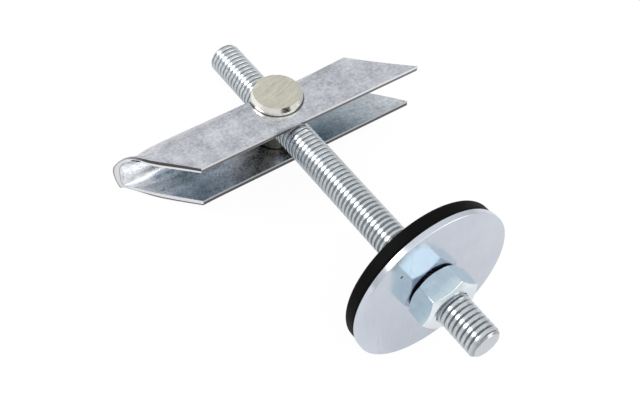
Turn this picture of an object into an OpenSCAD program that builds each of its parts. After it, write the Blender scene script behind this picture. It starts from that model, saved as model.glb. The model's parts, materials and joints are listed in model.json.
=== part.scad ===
// Gravity toggle bolt: a threaded stud, a folded channel that pivots on a cross pin,
// a rubber washer, a large steel washer and a hexagon nut.
// The bolt lies on a table, on the rim of its washers, the far end of its stud and
// the tip of the channel's long arm.

/* [Stud] */
// Diameter of the stud over its thread
stud_d = 8; // [6:0.5:8]
// Length of the stud from end to end
stud_length = 101.5; // [94:0.5:160]
// Length of the stud that stands behind the pin
stud_behind_pin = 24.2; // [14:0.2:25]
// Chamfer on both ends of the stud
stud_chamfer = 0.8; // [0.3:0.1:1.2]

/* [Pivot pin] */
// Diameter of the pin
pin_d = 12.4; // [10.5:0.1:12.6]
// Distance from the stud axis to the upper face of the pin
pin_above = 7.7; // [7:0.1:9]
// Distance from the stud axis to the lower face of the pin
pin_below = 7.3; // [7.2:0.1:7.4]
// Chamfer on both rims of the pin
pin_chamfer = 0.45; // [0.2:0.05:0.9]

/* [Channel] */
// Thickness of the folded sheet
sheet_t = 1.5; // [1:0.1:1.5]
// Height of the channel over both flanges
channel_h = 12.8; // [12.7:0.1:13.4]
// Distance from the pin axis to the front edges of the flanges
flange_front = 9.4; // [8:0.1:14]
// Distance from the pin axis to the outside of the round back
back_depth = 5.8; // [5.6:0.1:6.4]
// Length of the long arm, along the line through the pin
long_arm = 35.8; // [28:0.2:45]
// Length of the short arm, along the line through the pin
short_arm = 25.3; // [20:0.1:30]
// Slant of both end cuts against the stud
end_angle = 45; // [30:1:55]
// How far the channel hangs below the middle of the pin
channel_drop = 0.8; // [0:0.05:0.85]

/* [Washers] */
// Diameter of the steel washer
washer_d = 40; // [34:1:50]
// Thickness of the steel washer
washer_t = 1.5; // [1:0.1:2.5]
// Rounding of the steel washer's edges
washer_edge = 0.2; // [0.1:0.05:0.4]
// How far the rim of the rubber washer stands back from the steel washer's
rubber_inset = 0.3; // [0:0.05:1]
// Thickness of the rubber washer
rubber_t = 3.5; // [2:0.1:5]
// Rounding of the rubber washer's rim
rubber_edge = 0.8; // [0.2:0.1:0.9]
// Gap for the board, from the flanges to the rubber washer
board_gap = 45.5; // [38:0.1:48]
// Lean of the loose washers on the stud
washer_lean = 2.2; // [0:0.1:5]

/* [Nut] */
// Width of the nut across its flats
nut_flats = 13; // [12:0.5:14]
// Height of the nut
nut_h = 6.3; // [5:0.1:8]
// Turn of the nut's corners about the stud
nut_turn = 44; // [0:1:60]
// Diameter of the nut's flat faces, where the chamfer on its corners starts
nut_face_d = 11.6; // [11:0.1:12]
// Slope of the chamfer on the nut's corners
nut_slope = 30; // [20:1:40]
// Depth of the countersinks at both mouths of the nut
nut_sink = 0.4; // [0.2:0.1:0.8]

/* [Fits] */
// Radial clearance of the stud in the nut and in the pin
thread_gap = 0.05; // [0.02:0.01:0.08]
// Radial clearance of the pin in the flanges
pin_gap = 0.06; // [0.03:0.01:0.09]
// Radial clearance of the stud in the leaning washers
washer_gap = 0.25; // [0.2:0.05:0.5]
// Clearance of the stud at the end of the channel's slot
slot_gap = 0.3; // [0.2:0.05:0.4]
// Gap between the nut and the washer where they are nearest
seat_gap = 0.03; // [0.02:0.01:0.1]

/* [Hidden] */
$fn = 96;

// Radii
stud_r = stud_d / 2;
pin_r = pin_d / 2;
thread_bore_r = stud_r + thread_gap;
pin_hole_r = pin_r + pin_gap;
washer_r = washer_d / 2;
rubber_r = washer_r - rubber_inset;
nut_face_r = nut_face_d / 2;
nut_corner_r = nut_flats / 2 / cos(30);

// Places along the stud, from the pin axis
stud_far = -stud_behind_pin;
stud_near = stud_length - stud_behind_pin;

// The leaning stack of both washers, built square to the stud and leant about its middle
stack_t = rubber_t + washer_t;
stack_mid = flange_front + board_gap + stack_t / 2;
washer_bore_r = stud_r / cos(washer_lean) + stack_t / 2 * tan(washer_lean) + washer_gap;
nut_seat = stack_mid + stack_t / 2 / cos(washer_lean) + nut_face_r * tan(washer_lean) + seat_gap;

// Section of the channel, from the pin axis and the middle of the channel
back_r = channel_h / 2;
back_inner_r = back_r - sheet_t;
back_centre = back_r - back_depth;
slot_w = 2 * back_inner_r;
slot_end = stud_r + slot_gap;
end_slope = tan(end_angle);

// How the bolt lies: the pitch puts the rubber rim and the stud's far end on the table,
// the roll then lets the tip of the long arm down to it
rim_r = rubber_r - rubber_edge;
rim_back = stack_t / 2 - rubber_edge;
rest_run = stack_mid - rim_back * cos(washer_lean) + rim_r * sin(washer_lean) - stud_far - stud_chamfer;
rest_rise = rim_r * cos(washer_lean) + rim_back * sin(washer_lean) - stud_r;
lie_pitch = atan2(rest_rise, rest_run) + asin(rubber_edge / norm([rest_run, rest_rise]));
rest_depth = stud_r * cos(lie_pitch) - (stud_far + stud_chamfer) * sin(lie_pitch);
tip_x = long_arm - back_centre * end_slope;
lie_roll = settled_roll(0, 6);

// Middle of the lying bolt
x_high = tip_x * cos(lie_roll) - channel_drop * sin(lie_roll) + back_r * norm([end_slope * cos(lie_roll), sin(lie_roll)]);
x_low = -(short_arm + flange_front * end_slope) * cos(lie_roll) - (back_r + channel_drop) * sin(lie_roll);
y_mid = (stud_near + stud_far) / 2 * cos(lie_pitch);

// How low the bend at the tip of the long arm reaches, below the pin axis, at a given roll
function tip_bend(roll) =
    back_r * norm([cos(lie_pitch) * sin(roll) * end_slope + sin(lie_pitch), cos(lie_pitch) * cos(roll)]);

// Roll at which the tip meets the table, found by repeated substitution
function settled_roll(roll, steps) =
    steps == 0 ? roll : settled_roll(asin(
        (rest_depth + back_centre * sin(lie_pitch) - channel_drop * cos(lie_pitch) * cos(roll) - tip_bend(roll))
        / (cos(lie_pitch) * tip_x)), steps - 1);

// Lays pieces that are built on the stud (along Y) and the pin (along Z) down on the table
module lying() {
    translate([-(x_high + x_low) / 2, -y_mid, rest_depth])
        rotate([lie_pitch, 0, 0])
            rotate([0, lie_roll, 0])
                children();
}

// Turns a piece that is revolved about Z onto the stud
module on_stud(place) {
    translate([0, place, 0])
        rotate([-90, 0, 0])
            children();
}

// Leans a washer that is built on the stack's middle, and puts it on the stud
module leaning(place) {
    on_stud(stack_mid)
        rotate([washer_lean, 0, 0])
            translate([0, 0, place])
                children();
}

// Outline of a washer's half section, with rounded rim corners
module washer_half(r, t, edge, bore_r) {
    translate([bore_r, 0])
        square([r - edge - bore_r, t]);
    translate([bore_r, edge])
        square([r - bore_r, t - 2 * edge]);
    for (y = [edge, t - edge])
        translate([r - edge, y])
            circle(edge, $fn = 32);
}

module washer(r, t, edge, bore_r) {
    rotate_extrude()
        washer_half(r, t, edge, bore_r);
}

// Round bar with a 45 degree chamfer on both ends, from z = 0 up
module chamfered_bar(r, length, chamfer) {
    rotate_extrude()
        polygon([
            [0, 0], [r - chamfer, 0], [r, chamfer],
            [r, length - chamfer], [r - chamfer, length], [0, length]
        ]);
}

// Outline of the channel's section: straight flanges and a round back
module u_outline(r, reach) {
    circle(r);
    translate([-r, 0])
        square([2 * r, reach]);
}

// The folded sheet before its ends are cut, long along X
module folded_sheet(length) {
    front = flange_front - back_centre;
    rotate([90, 0, 90])
        linear_extrude(height = length, center = true)
            rotate(-90)
                difference() {
                    u_outline(back_r, front);
                    u_outline(back_inner_r, front + sheet_t);
                }
}

module threaded_stud() {
    color("lightsteelblue")
        lying()
            on_stud(stud_far)
                chamfered_bar(stud_r, stud_length, stud_chamfer);
}

module pivot_pin() {
    color("khaki")
        lying()
            difference() {
                translate([0, 0, -pin_below])
                    chamfered_bar(pin_r, pin_above + pin_below, pin_chamfer);
                on_stud(-pin_d)
                    cylinder(r = thread_bore_r, h = 2 * pin_d);
            }
}

module toggle_channel() {
    reach = long_arm + short_arm + 4 * channel_h;
    front_shift = flange_front * end_slope;
    back_shift = back_depth * end_slope;
    color("silver")
        lying()
            translate([0, 0, -channel_drop])
                difference() {
                    intersection() {
                        translate([0, back_centre, 0])
                            folded_sheet(reach);
                        linear_extrude(height = 2 * channel_h, center = true)
                            polygon([
                                [-short_arm + back_shift, -back_depth],
                                [long_arm + back_shift, -back_depth],
                                [long_arm - front_shift, flange_front],
                                [-short_arm - front_shift, flange_front]
                            ]);
                    }
                    cylinder(r = pin_hole_r, h = 2 * channel_h, center = true);
                    translate([slot_end - reach, -2 * back_depth, -slot_w / 2])
                        cube([reach, 2 * back_depth, slot_w]);
                }
}

module rubber_washer() {
    color("black")
        lying()
            leaning(-stack_t / 2)
                washer(rubber_r, rubber_t, rubber_edge, washer_bore_r);
}

module steel_washer() {
    color("lightgray")
        lying()
            leaning(rubber_t - stack_t / 2)
                washer(washer_r, washer_t, washer_edge, washer_bore_r);
}

// Double cone that trims the nut's corners
module nut_trim() {
    rise = (nut_corner_r - nut_face_r) * tan(nut_slope);
    rotate_extrude()
        polygon([
            [0, 0], [nut_face_r, 0], [nut_corner_r, rise],
            [nut_corner_r, nut_h - rise], [nut_face_r, nut_h], [0, nut_h]
        ]);
}

// Bore of the nut, with both mouths opened at 45 degrees and carried on past the faces
module nut_bore() {
    outside_r = thread_bore_r + 2 * nut_sink;
    rotate_extrude()
        polygon([
            [0, -nut_sink], [outside_r, -nut_sink], [thread_bore_r, nut_sink],
            [thread_bore_r, nut_h - nut_sink], [outside_r, nut_h + nut_sink], [0, nut_h + nut_sink]
        ]);
}

module hex_nut() {
    color("lightblue")
        lying()
            on_stud(nut_seat)
                rotate(-nut_turn)
                    difference() {
                        intersection() {
                            cylinder(r = nut_corner_r, h = nut_h, $fn = 6);
                            nut_trim();
                        }
                        nut_bore();
                    }
}

threaded_stud();
pivot_pin();
toggle_channel();
rubber_washer();
steel_washer();
hex_nut();
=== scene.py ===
"""Looks of a gravity toggle bolt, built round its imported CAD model.

Every piece is built in the bolt's own frame in millimetres, with the stud along Y and the pivot pin along Z,
and is then laid down in the row frame, in metres, where the CAD model lies.
"""

from __future__ import annotations

import json
import logging
import math
from collections.abc import Iterable, Sequence
from dataclasses import dataclass, field, replace
from enum import Enum
from typing import Any

import bmesh
import bpy
from mathutils import Matrix, Vector

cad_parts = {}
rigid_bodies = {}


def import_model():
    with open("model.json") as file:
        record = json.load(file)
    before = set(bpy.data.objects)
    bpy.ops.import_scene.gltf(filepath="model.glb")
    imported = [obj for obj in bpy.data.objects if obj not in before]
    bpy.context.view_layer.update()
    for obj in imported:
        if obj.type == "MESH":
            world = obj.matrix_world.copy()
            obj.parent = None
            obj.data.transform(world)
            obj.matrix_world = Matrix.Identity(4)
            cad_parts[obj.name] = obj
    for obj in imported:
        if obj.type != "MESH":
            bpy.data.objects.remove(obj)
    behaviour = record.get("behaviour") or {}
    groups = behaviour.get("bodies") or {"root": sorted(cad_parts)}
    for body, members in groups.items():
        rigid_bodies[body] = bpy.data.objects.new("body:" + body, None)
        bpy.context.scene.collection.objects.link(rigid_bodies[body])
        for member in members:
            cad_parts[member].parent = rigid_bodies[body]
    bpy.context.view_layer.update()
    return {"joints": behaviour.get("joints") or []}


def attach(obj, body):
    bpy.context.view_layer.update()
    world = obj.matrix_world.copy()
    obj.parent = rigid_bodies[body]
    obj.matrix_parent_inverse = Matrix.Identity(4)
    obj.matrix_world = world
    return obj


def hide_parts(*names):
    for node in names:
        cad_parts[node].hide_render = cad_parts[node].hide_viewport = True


LOG = logging.getLogger("toggle_bolt")
MM = 0.001
WELD = 1e-4
SHEET_LAYER = "sheet"
Colour = tuple[float, float, float]
Point2 = tuple[float, float]
Point3 = tuple[float, float, float]
Section = list[tuple[Point2, Point2]]
Socket = bpy.types.NodeSocket


class Body(Enum):
    """Bodies of the bolt that move on their own."""

    STUD = "stud"
    PIN = "pin"
    CHANNEL = "channel"
    WASHERS = "washers"
    NUT = "nut"


class Slot(Enum):
    """Finishes that the part's record names."""

    STUD = "stud_zinc"
    PIN = "pin_zinc"
    CHANNEL = "channel_zinc"
    RUBBER = "rubber"
    WASHER = "washer_zinc"
    NUT = "nut_zinc"


@dataclass(frozen=True)
class BoltFrame:
    """How the bolt lies on the table.

    Attributes:
        matrix: Takes millimetres on the stud and the pin to metres in the row frame.
    """

    matrix: Matrix

    @classmethod
    def from_joints(cls, joints: Sequence[dict[str, Any]]) -> BoltFrame:
        """Reads the stud's and the pin's axes from the joints.

        Args:
            joints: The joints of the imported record.

        Returns:
            The frame whose Y runs along the stud and whose Z runs along the pin.
        """
        by_name = {joint["name"]: joint for joint in joints}
        along = Vector(by_name["pin_travel"]["axis"]).normalized()
        up = Vector(by_name["toggle_tilt"]["axis"]).normalized()
        matrix = Matrix((along.cross(up), along, up)).transposed().to_4x4()
        matrix.translation = Vector(by_name["toggle_tilt"]["pos_m"])
        return cls(matrix @ Matrix.Diagonal((MM, MM, MM, 1.0)))

    def turn(self) -> Matrix:
        """Returns the frame's turn alone, as a 3x3 matrix."""
        return self.matrix.to_3x3().normalized()

    def place(self, point: Point3) -> Vector:
        """Returns a point of the bolt, in millimetres, as metres in the row frame."""
        return self.matrix @ Vector(point)


class TreeWriter:
    """Adds nodes to a node tree and links them."""

    COLUMNS = 12
    SPACING = (190, -210)
    MIX_INPUTS = (0, 6, 7)
    MIX_OUTPUT = 2

    def __init__(self, tree: bpy.types.NodeTree) -> None:
        """Starts on a tree, with no nodes in it yet."""
        self.tree = tree
        self.tree.nodes.clear()

    def add(self, kind: str, inputs: dict[Any, Any] | Sequence[Any] = (), **settings: Any) -> bpy.types.Node:
        """Adds one node.

        Args:
            kind: The node's type.
            inputs: What its inputs get, by name or in order: sockets to link or plain values.
            **settings: Properties that are set on it first.

        Returns:
            The new node.
        """
        node = self.tree.nodes.new(kind)
        row, column = divmod(len(self.tree.nodes), self.COLUMNS)
        node.location = (self.SPACING[0] * column, self.SPACING[1] * row)
        for name, value in settings.items():
            setattr(node, name, value)
        for key, value in inputs.items() if isinstance(inputs, dict) else enumerate(inputs):
            self.feed(node.inputs[key], value)
        return node

    def feed(self, socket: Socket, value: Any) -> None:
        """Links a socket to another one, or sets its own value.

        Args:
            socket: The input.
            value: The socket to link it to, or a plain value.
        """
        if isinstance(value, Socket):
            self.tree.links.new(value, socket)
        else:
            socket.default_value = value

    def math(self, operation: str, *values: Any) -> Socket:
        """Adds a Math node for up to three sockets or numbers, and returns its result."""
        return self.add("ShaderNodeMath", values, operation=operation).outputs[0]

    def product(self, first: Any, second: Any) -> Socket:
        """Returns the product of two sockets or numbers."""
        return self.math("MULTIPLY", first, second)

    def radius(self, first: Any, second: Any) -> Socket:
        """Returns the distance from an axis, given the two coordinates across it."""
        return self.math("SQRT", self.math("ADD", self.product(first, first), self.product(second, second)))

    def remap(self, value: Any, low: Any, high: Any, to_low: Any = 0.0, to_high: Any = 1.0) -> Socket:
        """Adds a Map Range node that keeps to its range, and returns its result."""
        return self.add("ShaderNodeMapRange", (value, low, high, to_low, to_high)).outputs[0]

    def window(self, value: Any, rise: Point2, fall: Point2) -> Socket:
        """Returns a share that rises over one range of a value and falls over another."""
        return self.product(self.remap(value, *rise), self.remap(value, *fall, 1.0, 0.0))

    def between(self, share: Any, first: Any, second: Any) -> Socket:
        """Returns the first value where a share is 0, the second where it is 1, and a mixture in between."""
        rest = self.math("SUBTRACT", 1.0, share)
        return self.math("ADD", self.product(share, second), self.product(rest, first))

    def noise(self, vector: Any, scale: Any, detail: float, roughness: float = 0.55) -> Socket:
        """Adds a Noise Texture node and returns its value."""
        inputs = {"Vector": vector, "Scale": scale, "Detail": detail, "Roughness": roughness}
        return self.add("ShaderNodeTexNoise", inputs).outputs[0]

    def blend(self, share: Any, first: Any, second: Any, kind: str = "MIX") -> Socket:
        """Adds a Mix node for two colours.

        Args:
            share: How much of the second colour shows.
            first: A socket or a plain colour.
            second: A socket or a plain colour.
            kind: How the colours are mixed.

        Returns:
            The socket with the mixed colour.
        """
        colours = ((*item, 1.0) if isinstance(item, tuple) else item for item in (first, second))
        inputs = dict(zip(self.MIX_INPUTS, (share, *colours)))
        settings = {"data_type": "RGBA", "blend_type": kind, "clamp_result": kind != "MIX"}
        return self.add("ShaderNodeMix", inputs, **settings).outputs[self.MIX_OUTPUT]

    def mixed(self, share: Any, first: Socket, second: Socket) -> Socket:
        """Adds a Mix Shader node and returns its shader."""
        return self.add("ShaderNodeMixShader", (share, first, second)).outputs[0]

    def joined(self, *values: Any) -> Socket:
        """Adds a Combine XYZ node and returns its vector."""
        return self.add("ShaderNodeCombineXYZ", values).outputs[0]

    def split(self, vector: Socket) -> list[Socket]:
        """Adds a Separate XYZ node and returns its three values."""
        return list(self.add("ShaderNodeSeparateXYZ", (vector,)).outputs)


def linked(name: str, data: bpy.types.ID) -> bpy.types.Object:
    """Makes an object of some data and links it to the scene.

    Args:
        name: The object's name.
        data: Its mesh, lamp or camera.

    Returns:
        The new object.
    """
    obj = bpy.data.objects.new(name, data)
    bpy.context.scene.collection.objects.link(obj)
    return obj


class MeshKit:
    """Turns lists of points into meshes and finished pieces."""

    @staticmethod
    def from_faces(
        name: str,
        points: Iterable[Point3],
        faces: Iterable[Iterable[int]],
        weld: float = WELD,
        sheet: Sequence[Point2] = (),
    ) -> bpy.types.Object:
        """Makes a closed mesh object.

        Args:
            name: The object's name.
            points: Its points in millimetres.
            faces: Its faces, as indices of points.
            weld: Distance below which points are merged.
            sheet: Where each point lies along a folded sheet and in its thickness, if it has one.

        Returns:
            The new object, linked to the scene.
        """
        mesh = bpy.data.meshes.new(name)
        mesh.from_pydata(list(points), [], [list(face) for face in faces])
        if sheet:
            layer = mesh.uv_layers.new(name=SHEET_LAYER)
            for loop in mesh.loops:
                layer.data[loop.index].uv = sheet[loop.vertex_index]
        obj = linked(name, mesh)
        MeshKit.close(mesh, weld)
        return obj

    @staticmethod
    def close(mesh: bpy.types.Mesh, weld: float = WELD) -> None:
        """Merges doubled points and points all faces outwards.

        Args:
            mesh: The mesh to mend.
            weld: Distance below which points are merged.
        """
        work = bmesh.new()
        work.from_mesh(mesh)
        bmesh.ops.remove_doubles(work, verts=work.verts, dist=weld)
        bmesh.ops.dissolve_degenerate(work, edges=work.edges, dist=weld / 4)
        bmesh.ops.recalc_face_normals(work, faces=work.faces)
        work.to_mesh(mesh)
        work.free()
        mesh.update()

    @staticmethod
    def ring_faces(steps: int, count: int, spans: int) -> list[Sequence[int]]:
        """Lists the faces between profiles that stand in a ring.

        Args:
            steps: Number of profiles round the ring.
            count: Points in each of them.
            spans: Faces between one profile and the next.

        Returns:
            The faces, as indices of points.
        """
        faces: list[Sequence[int]] = []
        for i in range(steps):
            here, there = i * count, (i + 1) % steps * count
            for k in range(spans):
                after = (k + 1) % count
                faces.append((here + k, there + k, there + after, here + after))
        return faces

    @staticmethod
    def lathe(name: str, profile: Sequence[Point2], steps: int, ring: bool) -> bpy.types.Object:
        """Revolves a profile about Z.

        Args:
            name: The object's name.
            profile: Radius and height of each point.
            steps: Number of steps round.
            ring: Whether the last point joins the first, as on a washer, or both ends are closed.

        Returns:
            The revolved object.
        """
        count = len(profile)
        turns = [2 * math.pi * i / steps for i in range(steps)]
        points = [(r * math.cos(a), r * math.sin(a), z) for a in turns for r, z in profile]
        faces = MeshKit.ring_faces(steps, count, count if ring else count - 1)
        if not ring:
            faces += [range(first, len(points), count) for first in (0, count - 1)]
        return MeshKit.from_faces(name, points, faces)

    @staticmethod
    def bake(obj: bpy.types.Object) -> None:
        """Turns an object's modifiers into its plain mesh.

        Args:
            obj: The object, which loses its modifiers.
        """
        bpy.context.view_layer.update()
        graph = bpy.context.evaluated_depsgraph_get()
        mesh = bpy.data.meshes.new_from_object(obj.evaluated_get(graph), depsgraph=graph)
        obj.modifiers.clear()
        obj.data = mesh

    @staticmethod
    def carve(obj: bpy.types.Object, cutter: bpy.types.Object) -> None:
        """Takes one object's volume out of another.

        Args:
            obj: The object that is cut.
            cutter: The object that cuts it, which is deleted.
        """
        modifier = obj.modifiers.new("carve", "BOOLEAN")
        modifier.operation = "DIFFERENCE"
        modifier.solver = "EXACT"
        modifier.object = cutter
        MeshKit.bake(obj)
        bpy.data.objects.remove(cutter)

    @staticmethod
    def soften(obj: bpy.types.Object, width: float, angle: float, segments: int = 2) -> None:
        """Rounds an object's sharp edges.

        Args:
            obj: The object, in millimetres.
            width: Width of the rounding.
            angle: Edges that turn by more than this many degrees are rounded.
            segments: Steps in the rounding.
        """
        modifier = obj.modifiers.new("soften", "BEVEL")
        modifier.limit_method = "ANGLE"
        modifier.angle_limit = math.radians(angle)
        modifier.width = width
        modifier.segments = segments
        MeshKit.bake(obj)

    @staticmethod
    def settle(obj: bpy.types.Object, place: Matrix, sharp: float) -> None:
        """Bakes an object's place into its mesh and shades it.

        Args:
            obj: The object.
            place: From its own millimetres to row metres.
            sharp: Edges that turn by more than this many degrees stay sharp.
        """
        obj.data.shade_smooth()
        obj.data.set_sharp_from_angle(angle=math.radians(sharp))
        modifier = obj.modifiers.new("flat_faces", "WEIGHTED_NORMAL")
        modifier.weight = 100
        modifier.keep_sharp = True
        MeshKit.bake(obj)
        obj.data.transform(place)

    @staticmethod
    def hand_over(
        obj: bpy.types.Object, material: bpy.types.Material, body: Body, node: str, slot: Slot
    ) -> None:
        """Dresses a finished piece and lets it stand for its CAD node.

        Args:
            obj: The piece, at the origin.
            material: Its finish.
            body: The body that it moves with.
            node: The CAD node that it stands for.
            slot: The record's slot for its finish; not used.
        """
        obj.data.materials.clear()
        obj.data.materials.append(material)
        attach(obj, body.value)
        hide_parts(node)
        LOG.info("%s stands for %s: %d faces", obj.name, node, len(obj.data.polygons))


def along_stud(place: float) -> Matrix:
    """Returns the matrix that turns a piece revolved about Z onto the stud, at a distance from the pin."""
    return Matrix.Translation((0.0, place, 0.0)) @ Matrix.Rotation(-math.pi / 2, 4, "X")


class SurfaceGroups:
    """Shader node groups that several finishes share."""

    CLOUD_RANGE = (0.32, 0.68)
    FLECK_RANGE = (0.3, 0.7)
    LINE_FADE = 0.12

    def __init__(self) -> None:
        """Builds the groups once."""
        self.blotches = self.build_blotches()
        self.lines = self.build_lines()

    @staticmethod
    def start(name: str, vectors: Sequence[str], values: Sequence[str]) -> tuple[TreeWriter, Any]:
        """Starts a shader group.

        Args:
            name: The group's name.
            vectors: Names of its vector inputs.
            values: Names of its value inputs.

        Returns:
            Its writer, and the sockets of its inputs by name.
        """
        tree = bpy.data.node_groups.new(name, "ShaderNodeTree")
        for kind, labels in (("NodeSocketVector", vectors), ("NodeSocketFloat", values)):
            for label in labels:
                tree.interface.new_socket(name=label, in_out="INPUT", socket_type=kind)
        writer = TreeWriter(tree)
        return writer, writer.add("NodeGroupInput").outputs

    @staticmethod
    def end(writer: TreeWriter, results: dict[str, Socket]) -> bpy.types.NodeTree:
        """Ends a shader group.

        Args:
            writer: The group's writer.
            results: Its value outputs by name.

        Returns:
            The finished group.
        """
        for label in results:
            writer.tree.interface.new_socket(name=label, in_out="OUTPUT", socket_type="NodeSocketFloat")
        writer.add("NodeGroupOutput", results)
        return writer.tree

    def build_blotches(self) -> bpy.types.NodeTree:
        """Builds the clouds, flecks and pits of a worn surface.

        Returns:
            A group with the outputs Tone, Gloss and Height.
        """
        w, given = self.start("plate_blotches", ["Vector"], ["Cloud Scale", "Fleck Scale", "Fleck Share"])
        cloud = w.noise(given["Vector"], given["Cloud Scale"], detail=4.0, roughness=0.6)
        fleck = w.noise(given["Vector"], given["Fleck Scale"], detail=5.0, roughness=0.65)
        cell_inputs = {"Vector": given["Vector"], "Scale": given["Fleck Scale"]}
        cell = w.add("ShaderNodeTexVoronoi", cell_inputs, feature="SMOOTH_F1")
        cloud_tone = w.remap(cloud, *self.CLOUD_RANGE)
        results = {
            "Tone": w.between(given["Fleck Share"], cloud_tone, w.remap(fleck, *self.FLECK_RANGE)),
            "Gloss": w.math("MULTIPLY_ADD", cell.outputs["Distance"], 0.5, w.product(cloud_tone, 0.5)),
            "Height": w.math("MULTIPLY_ADD", fleck, 0.6, w.product(cloud, 0.8)),
        }
        return self.end(w, results)

    def build_lines(self) -> bpy.types.NodeTree:
        """Builds fine lines in one direction, such as brush marks and rolling scratches.

        Returns:
            A group with the outputs Mask and Height.
        """
        w, given = self.start("fine_lines", ["Vector", "Turn"], ["Across Scale", "Along Scale", "Threshold"])
        turn_inputs = {"Vector": given["Vector"], "Rotation": given["Turn"]}
        turned = w.add("ShaderNodeVectorRotate", turn_inputs, rotation_type="EULER_XYZ").outputs[0]
        scales = (given[label] for label in ("Along Scale", "Across Scale", "Across Scale"))
        stretched = w.joined(*(w.product(value, scale) for value, scale in zip(w.split(turned), scales)))
        line = w.noise(stretched, 1.0, detail=3.0, roughness=0.6)
        full = w.math("ADD", given["Threshold"], self.LINE_FADE)
        return self.end(w, {"Mask": w.remap(line, given["Threshold"], full), "Height": line})


class Coat:
    """The colour and the relief of a finish, laid on in layers.

    Attributes:
        writer: The material's writer.
        vector: Place on the bolt, in millimetres.
        x: Place along the channel.
        y: Place along the stud.
        z: Place along the pin.
        colour: The colour so far.
        height: The relief so far.
    """

    def __init__(self, writer: TreeWriter, vector: Socket, colour: Socket, height: Socket) -> None:
        """Starts with one colour and one relief all over."""
        self.writer, self.vector, self.colour, self.height = writer, vector, colour, height
        self.x, self.y, self.z = writer.split(vector)

    def paint(self, share: Any, tint: Any, kind: str = "MIX") -> None:
        """Blends a tint over the colour, by a share from 0 to 1."""
        self.colour = self.writer.blend(share, self.colour, tint, kind)


@dataclass(frozen=True)
class Finish:
    """A finish with clouds and flecks.

    Attributes:
        name: The material's name.
        light: Colour of its bright parts.
        dark: Colour of its dull parts.
        gloss: Lowest and highest roughness.
        cloud_scale: Clouds to the millimetre.
        fleck_scale: Flecks to the millimetre.
        fleck_share: How much of the tone the flecks make.
        bump: Height of the relief in millimetres.
    """

    name: str
    light: Colour
    dark: Colour
    gloss: Point2
    cloud_scale: float = 0.22
    fleck_scale: float = 2.2
    fleck_share: float = 0.4
    bump: float = 0.01

    # The input of the shader that sets this kind of finish apart, and its value
    SHINE = ("Metallic", 0.0)
    GLOSS_RANGE = (0.2, 0.8)

    def material(self, groups: SurfaceGroups, frame: BoltFrame) -> bpy.types.Material:
        """Builds the material.

        Args:
            groups: The shared node groups.
            frame: How the bolt lies.

        Returns:
            The material, in millimetres on the bolt.
        """
        material = bpy.data.materials.new(self.name)
        material.use_nodes = True
        writer = TreeWriter(material.node_tree)
        vector = bolt_coordinates(writer, frame)
        inputs = {
            "Vector": vector,
            "Cloud Scale": self.cloud_scale,
            "Fleck Scale": self.fleck_scale,
            "Fleck Share": self.fleck_share,
        }
        blotches = writer.add("ShaderNodeGroup", inputs, node_tree=groups.blotches).outputs
        colour = writer.blend(blotches["Tone"], self.dark, self.light)
        coat = Coat(writer, vector, colour, blotches["Height"])
        self.dress(coat, groups)
        relief = {"Strength": 1.0, "Distance": self.bump * MM, "Height": coat.height}
        kind, value = self.SHINE
        inputs = {
            "Base Color": coat.colour,
            "Roughness": writer.remap(blotches["Gloss"], *self.GLOSS_RANGE, *self.gloss),
            "Normal": writer.add("ShaderNodeBump", relief).outputs["Normal"],
            kind: value,
        }
        shader = writer.add("ShaderNodeBsdfPrincipled", inputs)
        writer.add("ShaderNodeOutputMaterial", {"Surface": shader.outputs["BSDF"]})
        return material

    def dress(self, coat: Coat, groups: SurfaceGroups) -> None:
        """Lays on what only some finishes have, which is nothing here."""


@dataclass(frozen=True)
class RubberFinish(Finish):
    """Matte black rubber with dusty patches."""

    name: str = "black_rubber"
    light: Colour = (0.004, 0.004, 0.0043)
    dark: Colour = (0.0015, 0.0015, 0.0017)
    gloss: Point2 = (0.5, 0.68)
    cloud_scale: float = 0.4
    fleck_scale: float = 5.0
    fleck_share: float = 0.5
    bump: float = 0.02

    SHINE = ("Specular IOR Level", 0.06)


@dataclass(frozen=True)
class PlateFinish(Finish):
    """A zinc plated finish with fine lines.

    Attributes:
        line_turn: Turn that brings the fine lines along X, in degrees about X, Y and Z.
        line_across: Lines to the millimetre across them.
        line_along: Changes to the millimetre along them.
        line_threshold: Above which noise a line shows.
        line_tint: Colour of the lines.
        line_share: How strongly the lines show.
        line_height: How much of the relief the lines make.
    """

    line_turn: Point3 = (0.0, 0.0, 0.0)
    line_across: float = 5.0
    line_along: float = 0.2
    line_threshold: float = 0.6
    line_tint: Colour = (0.3, 0.3, 0.33)
    line_share: float = 0.25
    line_height: float = 0.7

    SHINE = ("Metallic", 1.0)

    def dress(self, coat: Coat, groups: SurfaceGroups) -> None:
        """Draws the fine lines, and then what only one finish has.

        Args:
            coat: The coat with its clouds and flecks.
            groups: The shared node groups.
        """
        w = coat.writer
        inputs = {
            "Vector": coat.vector,
            "Turn": [math.radians(angle) for angle in self.line_turn],
            "Across Scale": self.line_across,
            "Along Scale": self.line_along,
            "Threshold": self.line_threshold,
        }
        lines = w.add("ShaderNodeGroup", inputs, node_tree=groups.lines).outputs
        coat.height = w.math("MULTIPLY_ADD", lines["Height"], self.line_height, coat.height)
        coat.paint(w.product(lines["Mask"], self.line_share), self.line_tint)
        self.detail(coat)

    def detail(self, coat: Coat) -> None:
        """Paints what only one plated finish has."""
        raise NotImplementedError


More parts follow.
